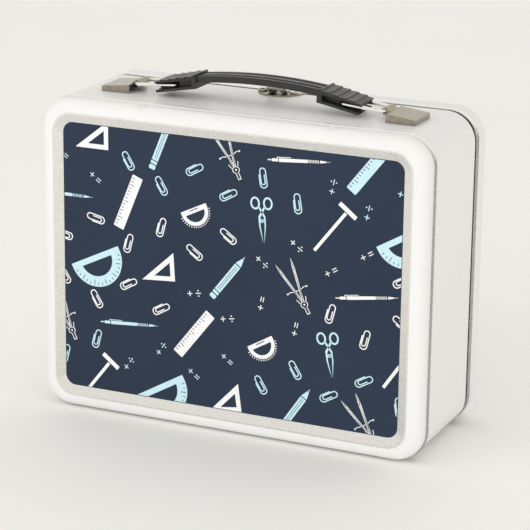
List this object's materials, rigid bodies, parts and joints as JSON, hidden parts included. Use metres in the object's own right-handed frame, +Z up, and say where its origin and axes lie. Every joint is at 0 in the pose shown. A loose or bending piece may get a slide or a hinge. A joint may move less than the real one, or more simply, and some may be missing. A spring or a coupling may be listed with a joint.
{
  "type": "lunch box",
  "caption": "Rectangular pressed-metal lunch box: recessed printed front panel, rear lid hinged along the bottom, top latch, and a moulded carrying handle on wire loops.",
  "frame": {"origin": "middle of the footprint, on the surface the box stands on", "axes": "+X to the right seen from the printed front, +Y from the front to the lid, +Z up"},
  "size_m": [0.228, 0.092, 0.1926],
  "materials": {
    "enamel_white": "gloss baked enamel on tin plate",
    "bezel_satin": "satin, fine grained",
    "panel_print": "satin printed sheet, navy with white and pale blue drawings",
    "bead_metal": "bright rolled wire edge",
    "lip_dark": "dark lacquer",
    "hinge_steel": "plated steel",
    "nickel": "warm nickel plate",
    "wire_steel": "bright drawn wire",
    "handle_plastic": "charcoal moulded plastic, semi-matt"
  },
  "bodies": {
    "box_body": {"front_shell": "enamel_white", "front_lugs": "wire_steel", "panel_bezel": "bezel_satin", "printed_panel": "panel_print", "front_seam_bead": "bead_metal", "body_band": "enamel_white", "inner_lip": "lip_dark", "body_hinge_leaves": "hinge_steel", "body_hinge_rivets": "hinge_steel", "hinge_pins": "wire_steel", "left_handle_bracket": "nickel", "right_handle_bracket": "nickel", "latch_base": "nickel", "latch_base_rivets": "nickel", "latch_pivot_pin": "wire_steel"},
    "lid": {"lid_shell": "enamel_white", "lid_bead": "bead_metal", "lid_hinge_leaves": "hinge_steel", "lid_hinge_rivets": "hinge_steel", "latch_catch": "nickel", "latch_catch_rivets": "nickel"},
    "handle": {"handle_grip": "handle_plastic"},
    "left_loop": {"left_wire_loop": "wire_steel"},
    "right_loop": {"right_wire_loop": "wire_steel"},
    "lever": {"latch_lever": "nickel"},
    "bail": {"latch_bail": "wire_steel"}
  },
  "joints": [
    {"name": "lid_hinge", "type": "hinge", "parent": "box_body", "child": "lid", "pos_m": [0, 0.0284, 0.0016], "axis": [-1, 0, 0], "range_deg": [0, 120]},
    {"name": "handle_lift", "type": "slide", "parent": "box_body", "child": "handle", "axis": [0, 0, 1], "range_m": [0, 0.0055]},
    {"name": "left_loop_hinge", "type": "hinge", "parent": "box_body", "child": "left_loop", "pos_m": [-0.0702, -0.0076, 0.1822], "axis": [0, -1, 0], "range_deg": [0, 13.52]},
    {"name": "right_loop_hinge", "type": "hinge", "parent": "box_body", "child": "right_loop", "pos_m": [0.0758, -0.0076, 0.1822], "axis": [0, 1, 0], "range_deg": [0, 13.52]},
    {"name": "latch_lever_hinge", "type": "hinge", "parent": "box_body", "child": "lever", "pos_m": [0, 0.0212, 0.1804], "axis": [-1, 0, 0], "range_deg": [0, 140]},
    {"name": "latch_bail_hinge", "type": "hinge", "parent": "lever", "child": "bail", "pos_m": [0, 0.019, 0.1799], "axis": [1, 0, 0], "range_deg": [0, 165.5]}
  ],
  "couplings": [
    {"joint": "left_loop_hinge", "follows": "handle_lift", "rad_per_m": 42.574},
    {"joint": "right_loop_hinge", "follows": "handle_lift", "rad_per_m": 42.574},
    {"joint": "latch_bail_hinge", "follows": "latch_lever_hinge", "ratio": 1.1786}
  ]
}
